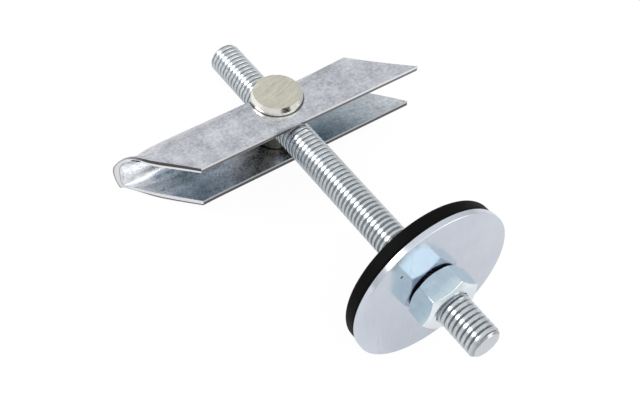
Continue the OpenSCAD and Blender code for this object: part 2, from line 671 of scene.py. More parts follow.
@dataclass(frozen=True)
class StudFinish(PlateFinish):
    """Zinc on the rolled thread, with painted shade in the grooves and a pale sawn end.

    Attributes:
        root: Radius at the bottom of the thread.
        crest: Radius at its top.
        groove_shade: Colour of the painted shade in the grooves.
        groove_shade_share: How strongly the painted shade shows at the bottom.
        end_place: Where the pale end face begins along the stud.
        end_fade: Over which length it begins.
        end_colour: Its colour.
    """

    root: float = 3.5
    crest: float = 4.0
    groove_shade: Colour = (0.2, 0.22, 0.23)
    groove_shade_share: float = 0.5
    end_place: float = 77.2
    end_fade: float = 0.08
    end_colour: Colour = (0.66, 0.68, 0.71)

    def detail(self, coat: Coat) -> None:
        """Paints shade in the grooves and makes the end face pale.

        Args:
            coat: The plate's coat.
        """
        w = coat.writer
        # Painted shade, darker towards the bottom of the thread
        depth = w.remap(w.radius(coat.x, coat.z), self.root, self.crest, self.groove_shade_share, 0.0)
        end = w.remap(coat.y, self.end_place, self.end_place + self.end_fade)
        coat.paint(w.product(depth, w.math("SUBTRACT", 1.0, end)), self.groove_shade)
        coat.paint(end, self.end_colour)


@dataclass(frozen=True)
class ChannelFinish(PlateFinish):
    """Zinc on the folded sheet, with painted reflections, light and shade inside the fold, painted shadows
    round the pin and under the crushed lip, and torn and smooth bands on the cut faces that are partly
    painted highlight and shade.

    Attributes:
        inside: Painted reflection that the plate's colour is multiplied with inside the fold.
        bright: Painted light, multiplied in the same way on the long arm, beside the pin and at its end.
        shade: Painted shade, multiplied in the same way on the short arm beside the pin.
        torn_and_shadow: Colour of the torn part of the cut faces, partly painted shade on the front edges,
            and of the painted shadow round the pin.
        smooth_and_sheen: Colour of the smooth part of the cut faces, partly painted highlight on the front
            edges.
        lip_shadow: Colour of the painted shadow in the slit under the crushed lip of the long arm.
        pin_shadow_radius: Radius of the painted shadow line round the pin.
    """

    inside: Colour = (1.0, 1.09, 1.09)
    bright: Colour = (1.5, 1.5, 1.45)
    shade: Colour = (0.36, 0.47, 0.495)
    torn_and_shadow: Colour = (0.085, 0.077, 0.077)
    smooth_and_sheen: Colour = (0.90, 0.90, 0.92)
    lip_shadow: Colour = (0.012, 0.012, 0.012)
    pin_shadow_radius: float = 6.3

    # Each ramp says where it starts and ends and, unless they are 0 and 1, the shares there.
    # Ramps over x, along the channel, which place the painted light and shade inside the fold
    BESIDE_PIN = (8.0, 22.0, 1.0, 0.0)
    LONG_TIP = (25.0, 33.0, 0.0, 0.9)
    SHORT_ARM = ((-48.0, -8.0), (-3.0, 3.0))
    # Ramps over the depth in the sheet, from 0 outside the fold to 1 inside it
    INNER_FACE = (0.96, 0.99)
    CUT_FACE = ((0.02, 0.06), (0.94, 0.98))
    OUTER_RIM = (0.12, 0.24, 1.0, 0.2)
    INNER_RIM = (0.78, 0.9, 0.2, 0.8)
    # On both front edges the cut face is light above and dark below, as light falls: partly torn and smooth
    # bands, partly painted highlight and shade
    UPPER_FRONT = (0.36, 0.56, 0.0, 0.88)
    LOWER_FRONT = (0.55, 0.78, 0.95, 0.35)
    LIP_SHADOW_DEPTH = ((0.6, 0.68), (0.9, 0.97))
    # Ramps over y, from the back of the fold to its front edges
    BACK_LIMIT = (-4.2, 0.5, 0.4, 1.0)
    BACK_TEAR = (-4.4, 0.2, 0.4, 1.0)
    BACK_RIMS = (-3.4, -2.4, 0.75, 0.0)
    LIP_SHADOW_PLACE = ((-2.2, -1.8), (-0.7, -0.3))
    # Ramps over z, from the lower flange to the upper one
    UPPER_HALF = (-1.5, 1.5)
    TEAR_LIMIT = (-3.0, 3.0, 0.27, 0.64)
    # Ramps over the share of the length, from 0 at the short end to 1 at the long end
    LONG_CUT = (0.9985, 0.9995)
    SHORT_CUT = (0.0005, 0.0015, 1.0, 0.0)
    # Ramps over the depth left to the limit of the tear, and over the distance from the pin, for the painted
    # shadow round it
    TEAR_EDGE = (-0.06, 0.06)
    PIN_SHADOW_LINE = (0.1, 0.32, 0.85, 0.0)

    def detail(self, coat: Coat) -> None:
        """Paints reflections, light and shade inside the fold, a shadow round the pin and under the crushed
        lip, and the bands of the cut faces.

        Args:
            coat: The plate's coat.
        """
        w = coat.writer
        share, depth, _ = w.split(w.add("ShaderNodeUVMap", uv_map=SHEET_LAYER).outputs[0])
        # Painted reflections, light and shade inside the fold
        coat.paint(w.remap(depth, *self.INNER_FACE), self.painted_inside_light(coat), "MULTIPLY")
        # Painted shadow of the pin, a dark line round its hole
        start, end, *shares = self.PIN_SHADOW_LINE
        coat.paint(w.remap(w.radius(coat.x, coat.y), self.pin_shadow_radius + start, self.pin_shadow_radius + end, *shares), self.torn_and_shadow)
        upper = w.remap(coat.z, *self.UPPER_HALF)
        long_cut = w.remap(share, *self.LONG_CUT)
        end_cut = w.math("MAXIMUM", long_cut, w.remap(share, *self.SHORT_CUT))
        # Front edges: light above and dark below on both flanges, partly painted highlight and shade
        front_tear_and_shade = w.between(upper, w.remap(depth, *self.LOWER_FRONT), w.remap(depth, *self.UPPER_FRONT))
        cut = w.window(depth, *self.CUT_FACE)
        coat.paint(cut, self.smooth_and_sheen)
        coat.paint(w.product(cut, w.between(end_cut, front_tear_and_shade, self.torn_end(coat, depth))), self.torn_and_shadow)
        # Painted shadow in the slit under the crushed lip
        lip_shadow = w.product(w.window(coat.y, *self.LIP_SHADOW_PLACE), w.window(depth, *self.LIP_SHADOW_DEPTH))
        coat.paint(w.product(lip_shadow, w.product(long_cut, upper)), self.lip_shadow)

    def painted_inside_light(self, coat: Coat) -> Socket:
        """Mixes the painted reflection, light and shade inside the fold along the channel.

        Args:
            coat: The plate's coat.

        Returns:
            The colour to multiply with.
        """
        w = coat.writer
        ends = w.math("MAXIMUM", w.remap(coat.x, *self.BESIDE_PIN), w.remap(coat.x, *self.LONG_TIP))
        return w.blend(w.window(coat.x, *self.SHORT_ARM), w.blend(ends, self.inside, self.bright), self.shade)

    def torn_end(self, coat: Coat, depth: Socket) -> Socket:
        """Finds the torn part of the end cuts.

        Args:
            coat: The plate's coat.
            depth: The depth in the sheet.

        Returns:
            The share that is torn.
        """
        w = coat.writer
        limit = w.product(w.remap(coat.z, *self.TEAR_LIMIT), w.remap(coat.y, *self.BACK_LIMIT))
        tear = w.remap(w.math("SUBTRACT", limit, depth), *self.TEAR_EDGE)
        rims = w.math("MAXIMUM", w.remap(depth, *self.OUTER_RIM), w.remap(depth, *self.INNER_RIM))
        tear = w.product(tear, w.remap(coat.y, *self.BACK_TEAR))
        return w.math("MAXIMUM", tear, w.product(rims, w.remap(coat.y, *self.BACK_RIMS)))


@dataclass(frozen=True)
class PinFinish(PlateFinish):
    """Yellowish zinc with a pale turned bevel, and painted shade where the channel's flanges cover it.

    Attributes:
        bevel: Radius at which the upper bevel begins.
        bevel_fade: Over which width it begins.
        turned: Colour of the bevel.
        cover: Height at which the channel's upper flange begins to cover it, and the painted shade begins.
        cover_fade: Over which height that begins.
        painted_cover_shade: Painted shade that the plate's colour is multiplied with below that height, the
            same from every side.
    """

    bevel: float = 5.6
    bevel_fade: float = 0.1
    turned: Colour = (0.93, 0.915, 0.83)
    cover: float = 4.4
    cover_fade: float = 0.5
    painted_cover_shade: Colour = (0.07, 0.069, 0.063)

    def detail(self, coat: Coat) -> None:
        """Makes the bevel pale and paints shade on the part that the channel covers.

        Args:
            coat: The plate's coat.
        """
        w = coat.writer
        radius = w.radius(coat.x, coat.y)
        coat.paint(w.remap(radius, self.bevel, self.bevel + self.bevel_fade), self.turned)
        # Painted shade on the barrel between the flanges, where the channel shades it
        painted_cover_shade = w.remap(coat.z, self.cover, self.cover + self.cover_fade, 1.0, 0.0)
        coat.paint(painted_cover_shade, self.painted_cover_shade, "MULTIPLY")


@dataclass(frozen=True)
class NutFinish(PlateFinish):
    """Pale blue zinc, paler on the turned faces and chamfers than on the flats.

    Attributes:
        axis: Direction of the stud in the row frame.
        facing: How much a face looks along the stud where it begins to be pale, and where it is.
        turned: Colour of the turned faces.
    """

    axis: Point3 = (0.0, 1.0, 0.0)
    facing: Point2 = (0.1, 0.45)
    turned: Colour = (0.86, 0.92, 0.95)

    def detail(self, coat: Coat) -> None:
        """Makes the turned faces paler.

        Args:
            coat: The plate's coat.
        """
        w = coat.writer
        normal = w.add("ShaderNodeNewGeometry").outputs["Normal"]
        along = w.add("ShaderNodeVectorMath", (normal, self.axis), operation="DOT_PRODUCT").outputs["Value"]
        coat.paint(w.remap(w.math("ABSOLUTE", along), *self.facing), self.turned)


@dataclass(frozen=True)
class WasherFinish(PlateFinish):
    """Smooth zinc with one dark speck of dirt.

    Attributes:
        speck: Place of the speck across and above the stud.
        speck_radius: Its radius.
        speck_fade: Radius at which it has faded out, in radii.
        dirt: Its colour.
    """

    speck: Point2 = (9.6, 10.4)
    speck_radius: float = 0.27
    speck_fade: float = 1.6
    dirt: Colour = (0.03, 0.03, 0.03)

    def detail(self, coat: Coat) -> None:
        """Sets the speck on the face.

        Args:
            coat: The plate's coat.
        """
        w = coat.writer
        ends = (w.joined(coat.x, coat.z, 0.0), (*self.speck, 0.0))
        off = w.add("ShaderNodeVectorMath", ends, operation="DISTANCE").outputs["Value"]
        share = w.remap(off, self.speck_radius, self.speck_fade * self.speck_radius, 1.0, 0.0)
        coat.paint(share, self.dirt)


def bolt_coordinates(writer: TreeWriter, frame: BoltFrame) -> Socket:
    """Adds nodes that give a place on the bolt in millimetres.

    Args:
        writer: The material's writer.
        frame: How the bolt lies.

    Returns:
        The vector, with Y along the stud and Z along the pin.
    """
    inputs = {
        "Vector": writer.add("ShaderNodeTexCoord").outputs["Object"],
        "Location": frame.matrix.translation,
        "Rotation": frame.turn().to_euler("XYZ"),
        "Scale": (MM, MM, MM),
    }
    return writer.add("ShaderNodeMapping", inputs, vector_type="TEXTURE").outputs["Vector"]


class ThreadTree:
    """A Geometry Nodes tree that makes a bar with a rolled right-hand thread, from z = 0 up."""

    FLOATS = ("Length", "Pitch", "Crest Radius", "Root Radius", "Chamfer", "Unevenness")
    COUNTS = ("Steps Round", "Rows per Pitch")
    # From the middle of the crest (0) to the middle of the groove (1): where the flank starts and ends
    FLANK = (0.58, 0.95)
    # Keeps a row in the middle of a groove, where one turn ends, on one side of it
    SEAM = 1e-4
    WOBBLE_RADIUS = 4.0
    WOBBLE_SCALE = 0.9
    SEAM_WELD = 0.002

    def __init__(self) -> None:
        """Builds the tree once."""
        self.tree = bpy.data.node_groups.new("rolled_thread", "GeometryNodeTree")
        face = self.tree.interface
        face.new_socket(name="Geometry", in_out="INPUT", socket_type="NodeSocketGeometry")
        self.keys: dict[str, str] = {}
        kinds = {
            "NodeSocketFloat": self.FLOATS,
            "NodeSocketInt": self.COUNTS,
            "NodeSocketMaterial": ("Material",),
        }
        for kind, names in kinds.items():
            for name in names:
                self.keys[name] = face.new_socket(name=name, in_out="INPUT", socket_type=kind).identifier
        face.new_socket(name="Geometry", in_out="OUTPUT", socket_type="NodeSocketGeometry")
        self.write()

    def write(self) -> None:
        """Writes the tree: a grid whose rows climb by one pitch round the bar, and two end discs."""
        w = TreeWriter(self.tree)
        given = w.add("NodeGroupInput").outputs
        length, pitch, crest, root = (given[name] for name in self.FLOATS[:4])
        steps, per_pitch = (given[name] for name in self.COUNTS)
        turns = w.math("DIVIDE", w.math("ADD", length, pitch), pitch)
        rows = w.math("ADD", w.math("CEIL", w.product(turns, per_pitch)), 1.0)
        points = {"Vertices X": w.math("ADD", steps, 1.0), "Vertices Y": w.math("ADD", rows, 1.0)}
        grid = w.add("GeometryNodeMeshGrid", {"Size X": 1.0, "Size Y": 1.0, **points})
        across, up, _ = w.split(w.add("GeometryNodeInputPosition").outputs[0])
        turn = w.math("ADD", across, 0.5)
        row = w.math("ROUND", w.product(w.math("ADD", up, 0.5), rows))
        share = w.math("DIVIDE", row, per_pitch)
        climb = w.product(w.math("SUBTRACT", w.math("ADD", share, turn), 1.0), pitch)
        height = w.math("MAXIMUM", w.math("MINIMUM", climb, length), 0.0)
        part = w.math("FRACT", w.math("ADD", share, self.SEAM))
        off_crest = w.math("ABSOLUTE", w.math("MULTIPLY_ADD", part, 2.0, -1.0))
        flank = w.remap(off_crest, *self.FLANK, crest, root)
        angle = w.product(turn, 2 * math.pi)
        cosine, sine = w.math("COSINE", angle), w.math("SINE", angle)
        around = (w.product(value, self.WOBBLE_RADIUS) for value in (cosine, sine))
        wobble = w.noise(w.joined(*around, height), self.WOBBLE_SCALE, detail=3.0)
        flank = w.math("MULTIPLY_ADD", w.math("SUBTRACT", wobble, 0.5), given["Unevenness"], flank)
        end_radius = w.math("SUBTRACT", crest, given["Chamfer"])
        end = w.math("MINIMUM", height, w.math("SUBTRACT", length, height))
        radius = w.math("MINIMUM", flank, w.math("ADD", end_radius, end))
        place = w.joined(w.product(radius, cosine), w.product(radius, sine), height)
        moved = w.add("GeometryNodeSetPosition", {"Geometry": grid.outputs["Mesh"], "Position": place})
        join = w.add("GeometryNodeJoinGeometry")
        w.feed(join.inputs[0], moved.outputs[0])
        for level in (0.0, length):
            sizes = {"Vertices": steps, "Radius": end_radius}
            disc = w.add("GeometryNodeMeshCircle", sizes, fill_type="NGON").outputs[0]
            lifted = {"Geometry": disc, "Translation": w.joined(0.0, 0.0, level)}
            w.feed(join.inputs[0], w.add("GeometryNodeTransform", lifted).outputs[0])
        closed = {"Geometry": join.outputs[0], "Distance": self.SEAM_WELD}
        weld = w.add("GeometryNodeMergeByDistance", closed)
        real = w.add("GeometryNodeRealizeInstances", (weld.outputs[0],))
        dressed = {"Geometry": real.outputs[0], "Material": given["Material"]}
        w.add("NodeGroupOutput", (w.add("GeometryNodeSetMaterial", dressed).outputs[0],))

    def bar(self, name: str, values: dict[str, Any]) -> bpy.types.Object:
        """Makes one threaded bar as a plain mesh.

        Args:
            name: The object's name.
            values: The tree's inputs by name.

        Returns:
            The bar, about Z from z = 0 up, in millimetres.
        """
        obj = linked(name, bpy.data.meshes.new(name))
        modifier = obj.modifiers.new("thread", "NODES")
        modifier.node_group = self.tree
        for label, value in values.items():
            modifier[self.keys[label]] = value
        MeshKit.bake(obj)
        MeshKit.close(obj.data)
        return obj


@dataclass
class ThreadedStud:
    """The stud with its thread."""

    length: float = 101.5
    behind_pin: float = 24.2
    crest: float = 4.0
    root: float = 3.5
    pitch: float = 1.25
    chamfer: float = 0.8
    unevenness: float = 0.05
    finish: StudFinish = field(
        default_factory=lambda: StudFinish(
            name="stud_plate",
            light=(0.69, 0.725, 0.745),
            dark=(0.53, 0.56, 0.58),
            gloss=(0.2, 0.32),
            cloud_scale=0.5,
            fleck_scale=3.0,
            line_share=0.0,
            bump=0.006,
        )
    )

    def build(self, frame: BoltFrame, groups: SurfaceGroups) -> None:
        """Builds the stud and hands it over.

        Args:
            frame: How the bolt lies.
            groups: The shared node groups.
        """
        material = self.finish.material(groups, frame)
        values = {
            "Length": self.length,
            "Pitch": self.pitch,
            "Crest Radius": self.crest,
            "Root Radius": self.root,
            "Chamfer": self.chamfer,
            "Unevenness": self.unevenness,
            "Steps Round": 56,
            "Rows per Pitch": 12,
            "Material": material,
        }
        obj = ThreadTree().bar("stud", values)
        MeshKit.settle(obj, frame.matrix @ along_stud(-self.behind_pin), sharp=38.0)
        MeshKit.hand_over(obj, material, Body.STUD, "threaded_stud", Slot.STUD)


@dataclass
class PivotPin:
    """The barrel that the channel pivots on."""

    diameter: float = 12.4
    above: float = 7.7
    below: float = 7.3
    chamfer: float = 0.55
    bevel: float = 1.15
    bore: float = 4.05
    finish: PinFinish = field(
        default_factory=lambda: PinFinish(
            name="pin_plate",
            light=(0.74, 0.72, 0.62),
            dark=(0.58, 0.565, 0.475),
            gloss=(0.15, 0.3),
            cloud_scale=0.3,
            fleck_scale=2.5,
            fleck_share=0.5,
            line_turn=(0.0, 0.0, -13.0),
            line_across=5.5,
            line_along=0.3,
            line_threshold=0.5,
            line_tint=(0.36, 0.34, 0.25),
            line_share=0.5,
            bump=0.01,
        )
    )

    def build(self, frame: BoltFrame, groups: SurfaceGroups) -> None:
        """Builds the pin with the stud's cross hole.

        Args:
            frame: How the bolt lies.
            groups: The shared node groups.
        """
        r, c = self.diameter / 2, self.chamfer
        top, bottom = self.above, -self.below
        profile = [(r - c, bottom), (r, bottom + c), (r, top - self.bevel), (r - c, top)]
        obj = MeshKit.lathe("pivot_pin_barrel", profile, steps=128, ring=False)
        reach = self.diameter
        cutter = MeshKit.lathe("bore", [(self.bore, -reach), (self.bore, reach)], steps=64, ring=False)
        cutter.data.transform(along_stud(0.0))
        MeshKit.carve(obj, cutter)
        MeshKit.soften(obj, width=0.1, angle=15.0)
        MeshKit.settle(obj, frame.matrix, sharp=30.0)
        MeshKit.hand_over(obj, self.finish.material(groups, frame), Body.PIN, "pivot_pin", Slot.PIN)


@dataclass
class ToggleChannel:
    """The folded channel that turns behind the board."""

    sheet: float = 1.5
    height: float = 12.8
    front: float = 9.4
    back: float = 5.8
    long_arm: float = 35.8
    short_arms: Point2 = (24.2, 25.8)
    long_angle: float = 45.0
    short_angles: Point2 = (49.5, 40.0)
    drop: float = 0.8
    hole: float = 6.26
    slot_end: float = 4.3
    slot_width: float = 9.8
    bend_thinning: float = 0.24
    crush_reach: float = 6.0
    dent: float = 0.9
    dent_place: float = 2.6
    dent_turn: float = 110.0
    ear_reach: float = 14.0
    ear_width: float = 3.85
    finish: ChannelFinish = field(
        default_factory=lambda: ChannelFinish(
            name="channel_plate",
            light=(0.87, 0.88, 0.925),
            dark=(0.35, 0.36, 0.405),
            gloss=(0.2, 0.38),
            cloud_scale=0.26,
            fleck_scale=1.5,
            fleck_share=0.55,
            line_turn=(0.0, 0.0, 8.0),
            line_across=3.2,
            line_along=0.22,
            line_threshold=0.54,
            line_tint=(0.34, 0.34, 0.38),
            line_share=0.5,
            bump=0.012,
        )
    )

    # Steps of the mesh: along each flange, round the bend and along the channel, closer at its long end
    FLANGE_STEPS = 14
    BEND_STEPS = 40
    ROWS = 56
    CROWDING = 1.6
    CRUSHED_OUTSIDE = (
        (9.4, 6.4), (6.8, 6.48), (4.4, 6.42), (2.8, 6.38), (1.1, 6.42), (0.05, 6.6), (-0.95, 6.78),
        (-1.9, 6.6), (-2.95, 5.8), (-4.2, 4.0), (-4.9, 2.55), (-5.25, 1.6), (-5.4, -0.2), (-5.2, -2.25),
        (-4.98, -3.6), (-4.62, -5.2), (-3.7, -4.75), (-2.9, -4.98), (-1.55, -5.36), (0.45, -6.05),
        (2.1, -6.42), (4.6, -6.58), (9.4, -6.55),
    )  # fmt: skip
    CRUSHED_INSIDE = (
        (9.4, 4.85), (6.7, 4.78), (4.3, 4.66), (2.7, 4.55), (1.1, 4.7), (-0.2, 4.98), (-1.3, 5.05),
        (-2.2, 4.85), (-3.0, 4.2), (-3.75, 3.0), (-3.95, 2.0), (-4.05, 1.0), (-4.1, -0.5), (-4.15, -2.2),
        (-4.1, -3.1), (-3.8, -3.9), (-3.2, -4.0), (-2.5, -4.2), (-1.2, -4.5), (0.5, -4.72), (2.2, -4.88),
        (4.7, -4.92), (9.4, -5.0),
    )  # fmt: skip

    def section(self) -> Section:
        """Draws the plain fold.

        Returns:
            Its outside and inside, as Y and Z, from the upper front edge to the lower one.
        """
        outer = self.height / 2
        inner = outer - self.sheet
        centre = outer - self.back
        steps = self.FLANGE_STEPS
        flat = [self.front + (centre - self.front) * i / steps for i in range(steps)]
        pairs = [((y, outer), (y, inner)) for y in flat]
        for i in range(self.BEND_STEPS + 1):
            a = math.pi / 2 + math.pi * i / self.BEND_STEPS
            bend = inner + self.bend_thinning * math.sin(2 * a) ** 2
            pairs.append(tuple((centre + r * math.cos(a), r * math.sin(a)) for r in (outer, bend)))
        pairs += [((y, -outer), (y, -inner)) for y in reversed(flat)]
        return pairs

    def eared(self, pairs: Section) -> Section:
        """Lays the bends flat outside, as they are beside the slot at the short end.

        Args:
            pairs: The plain section.

        Returns:
            The flattened section.
        """
        outer = self.height / 2
        centre = outer - self.back
        edge = math.acos(self.slot_width / 2 / outer)
        result = []
        for (y, z), inside in pairs:
            share = math.atan2(centre - y, abs(z)) / edge
            if 0.0 < share < 1.0:
                y, z = centre - share * self.ear_width, math.copysign(outer, z)
            result.append(((y, z), inside))
        return result

    @staticmethod
    def spread(outline: Sequence[Point2], shares: Sequence[float]) -> list[Point2]:
        """Finds points on an outline.

        Args:
            outline: The outline's corners.
            shares: Where the points lie, as shares of its length.

        Returns:
            One point for each share.
        """
        lengths = [0.0]
        for (y0, z0), (y1, z1) in zip(outline, outline[1:]):
            lengths.append(lengths[-1] + math.hypot(y1 - y0, z1 - z0))
        points = []
        for share in shares:
            goal = share * lengths[-1]
            k = max(i for i in range(len(outline) - 1) if lengths[i] <= goal + 1e-9)
            t = min(1.0, (goal - lengths[k]) / (lengths[k + 1] - lengths[k]))
            points.append(tuple(a + (b - a) * t for a, b in zip(outline[k], outline[k + 1])))
        return points

    def crushed(self, pairs: Section) -> Section:
        """Finds the section that the shears left at the long end.

        Args:
            pairs: The plain section.

        Returns:
            The crushed section, station by station.
        """
        run = [0.0]
        for (first, _), (second, _) in zip(pairs, pairs[1:]):
            run.append(run[-1] + math.dist(first, second))
        shares = [value / run[-1] for value in run]
        return list(zip(self.spread(self.CRUSHED_OUTSIDE, shares), self.spread(self.CRUSHED_INSIDE, shares)))

    def dent_window(self, pairs: Section, centre: float) -> list[float]:
        """Finds how far the dent reaches round the upper bend.

        Args:
            pairs: The plain section.
            centre: Y of the bend's middle.

        Returns:
            The dent's share at each station.
        """
        window = []
        for (y, z), _ in pairs:
            turn = math.degrees(math.atan2(centre - y, z))
            inside = 0.0 < turn < self.dent_turn
            window.append(math.sin(math.radians(turn * 180.0 / self.dent_turn)) ** 2 if inside else 0.0)
        return window

    def folded_sheet(self) -> bpy.types.Object:
        """Builds the fold with both slanting end cuts.

        Returns:
            The channel without its holes, in millimetres.
        """
        shares = [1.0 - (1.0 - i / self.ROWS) ** self.CROWDING for i in range(self.ROWS + 1)]
        plain = self.section()
        ear, nose = self.eared(plain), self.crushed(plain)
        middle = (self.height / 2 - self.back, 0.0)
        window = self.dent_window(plain, middle[0])
        long_slope = math.tan(math.radians(self.long_angle))
        points: list[Point3] = []
        sheet: list[Point2] = []
        for side in (0, 1):
            for k in range(len(plain)):
                low = k / (len(plain) - 1)
                cuts = (self.short_arms, self.short_angles)
                arm, angle = (upper + (lower - upper) * low for upper, lower in cuts)
                short_slope = math.tan(math.radians(angle))
                length = self.long_arm + arm
                for share in shares:
                    crush = max(0.0, 1.0 - (1.0 - share) * length / self.crush_reach) ** 2
                    flat = max(0.0, 1.0 - share * length / self.ear_reach)
                    run = (1.0 - share) * length / self.dent_place
                    sunk = self.dent * window[k] * run * run * math.exp(2.0 - 2.0 * run) if side == 0 else 0.0
                    y, z = (
                        p + (q - p) * flat + (n - p) * crush + (c - p) * sunk / self.height * 2
                        for p, q, n, c in zip(plain[k][side], ear[k][side], nose[k][side], middle)
                    )
                    x = (self.long_arm - y * long_slope) * share - (arm + y * short_slope) * (1.0 - share)
                    points.append((x, y, z - self.drop))
                    sheet.append((share, float(side)))
        return MeshKit.from_faces("channel_fold", points, self.sheet_faces(len(plain)), sheet=sheet)

    def sheet_faces(self, stations: int) -> list[Sequence[int]]:
        """Lists the faces of the folded sheet.

        Args:
            stations: Points round the section, outside and inside alike.

        Returns:
            Its two sides, its end cuts and its front edges, as indices of points.
        """
        rows, stride = self.ROWS, self.ROWS + 1
        layer = stations * stride
        faces: list[Sequence[int]] = []
        for k in range(stations - 1):
            for i in range(rows):
                a, b = k * stride + i, (k + 1) * stride + i
                faces.append((a, a + 1, b + 1, b))
                faces.append((layer + a, layer + b, layer + b + 1, layer + a + 1))
            for i in (0, rows):
                a, b = k * stride + i, (k + 1) * stride + i
                faces.append((a, b, layer + b, layer + a))
        for k in (0, stations - 1):
            for i in range(rows):
                a = k * stride + i
                faces.append((a, a + 1, layer + a + 1, layer + a))
        return faces

    def build(self, frame: BoltFrame, groups: SurfaceGroups) -> None:
        """Builds the channel with its pin holes and the slot for the stud.

        Args:
            frame: How the bolt lies.
            groups: The shared node groups.
        """
        obj = self.folded_sheet()
        reach = 2 * self.height
        hole = [(self.hole, -reach), (self.hole, reach)]
        MeshKit.carve(obj, MeshKit.lathe("pin_hole", hole, steps=96, ring=False))
        left, back, half = -2.0 * self.long_arm, -2.0 * self.back, self.slot_width / 2
        outline = ((left, back), (self.slot_end, back), (self.slot_end, 0.0), (left, 0.0))
        corners = [(x, y, z - self.drop) for z in (-half, half) for x, y in outline]
        sides = [(0, 3, 2, 1), (4, 5, 6, 7), (0, 1, 5, 4), (1, 2, 6, 5), (2, 3, 7, 6), (3, 0, 4, 7)]
        MeshKit.carve(obj, MeshKit.from_faces("slot", corners, sides))
        MeshKit.soften(obj, width=0.22, angle=40.0, segments=3)
        MeshKit.settle(obj, frame.matrix, sharp=32.0)
        material = self.finish.material(groups, frame)
        MeshKit.hand_over(obj, material, Body.CHANNEL, "toggle_channel", Slot.CHANNEL)


@dataclass
class WasherStack:
    """The rubber washer and the steel washer, which lean on the stud."""

    middle: float = 57.4
    lean: float = 2.2
    bore: float = 4.349
    mouth: float = 0.15
    rubber_radius: float = 19.7
    rubber_thickness: float = 3.5
    rubber_edge: float = 0.8
    steel_radius: float = 20.0
    steel_thickness: float = 1.5
    steel_edge: float = 0.2
    rubber_finish: RubberFinish = field(default_factory=RubberFinish)
    steel_finish: WasherFinish = field(
        default_factory=lambda: WasherFinish(
            name="washer_plate",
            light=(0.70, 0.74, 0.81),
            dark=(0.615, 0.655, 0.725),
            gloss=(0.12, 0.2),
            cloud_scale=0.1,
            fleck_scale=1.2,
            fleck_share=0.3,
            line_turn=(0.0, 87.0, 0.0),
            line_across=1.7,
            line_along=0.02,
            line_threshold=0.62,
            line_tint=(0.44, 0.46, 0.52),
            line_share=0.6,
            bump=0.004,
        )
    )

    def profile(self, radius: float, thickness: float, edge: float, steps: int) -> list[Point2]:
        """Draws a washer's closed half section with rounded rims, from z = 0 up.

        Args:
            radius: The washer's radius.
            thickness: Its thickness.
            edge: Radius of its rounded rims.
            steps: Steps in each rounding.

        Returns:
            Radius and height of each point.
        """
        wide = self.bore + self.mouth
        points = [(self.bore, thickness - self.mouth), (self.bore, self.mouth), (wide, 0.0)]
        for centre, start in ((edge, -90.0), (thickness - edge, 0.0)):
            for i in range(steps + 1):
                a = math.radians(start + 90.0 * i / steps)
                points.append((radius - edge + edge * math.cos(a), centre + edge * math.sin(a)))
        return [*points, (wide, thickness)]

    def build(self, frame: BoltFrame, groups: SurfaceGroups) -> None:
        """Builds both washers.

        Args:
            frame: How the bolt lies.
            groups: The shared node groups.
        """
        under = -(self.rubber_thickness + self.steel_thickness) / 2
        stack = frame.matrix @ along_stud(self.middle) @ Matrix.Rotation(math.radians(self.lean), 4, "X")
        profile = self.profile(self.rubber_radius, self.rubber_thickness, self.rubber_edge, steps=8)
        rubber = MeshKit.lathe("rubber_ring", profile, steps=144, ring=True)
        MeshKit.settle(rubber, stack @ Matrix.Translation((0.0, 0.0, under)), sharp=40.0)
        material = self.rubber_finish.material(groups, frame)
        MeshKit.hand_over(rubber, material, Body.WASHERS, "rubber_washer", Slot.RUBBER)
        profile = self.profile(self.steel_radius, self.steel_thickness, self.steel_edge, steps=5)
        steel = MeshKit.lathe("steel_disc", profile, steps=160, ring=True)
        over = self.rubber_thickness + under
        MeshKit.settle(steel, stack @ Matrix.Translation((0.0, 0.0, over)), sharp=30.0)
        material = self.steel_finish.material(groups, frame)
        MeshKit.hand_over(steel, material, Body.WASHERS, "steel_washer", Slot.WASHER)


